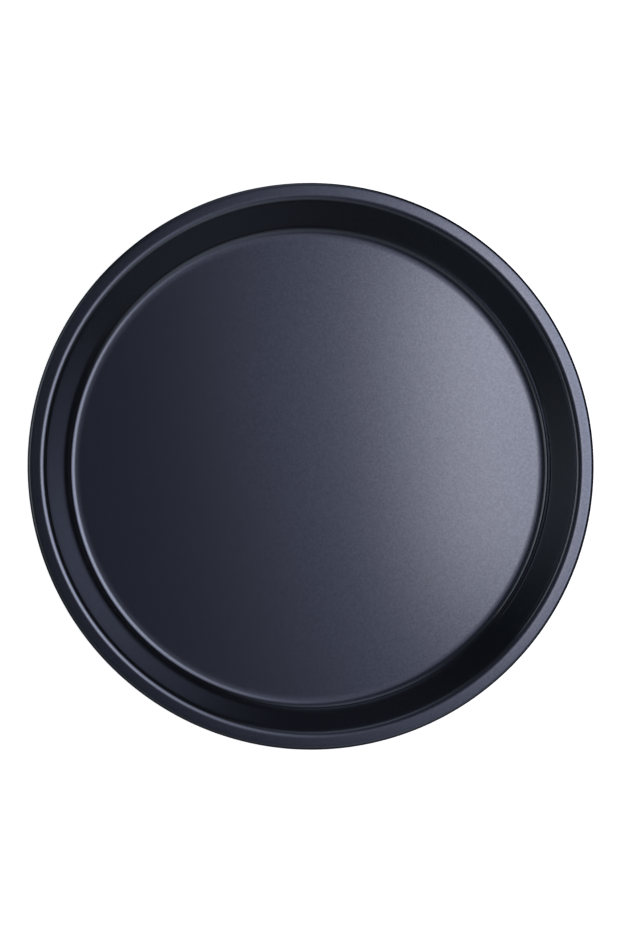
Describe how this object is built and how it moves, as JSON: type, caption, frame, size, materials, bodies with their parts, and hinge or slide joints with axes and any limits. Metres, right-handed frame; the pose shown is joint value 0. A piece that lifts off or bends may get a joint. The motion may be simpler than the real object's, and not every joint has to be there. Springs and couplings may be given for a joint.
{
  "type": "pizza pan",
  "caption": "Round shallow pan with a flat floor, rounded floor corner, leaning wall and flat rim with a small wired roll, in dark satin nonstick.",
  "frame": {"origin": "middle of the underside of the floor, at the surface that the pan stands on", "axes": "+Z along the pan's axis, up out of the open side; the pan is round, so +X and +Y are any two square directions across it"},
  "size_m": [0.33, 0.33, 0.03],
  "materials": {
    "bare_steel": "bare cold-rolled steel, seen only at the cut lip under the rim",
    "bright_wire": "drawn steel wire",
    "nonstick": "satin blue-black nonstick coating with a fine metallic grain",
    "back_coat": "satin black back coating"
  },
  "bodies": {
    "root": {"pressed_steel_pan": "bare_steel", "rim_wire": "bright_wire", "nonstick_coating": "nonstick", "back_coating": "back_coat"}
  },
  "joints": []
}
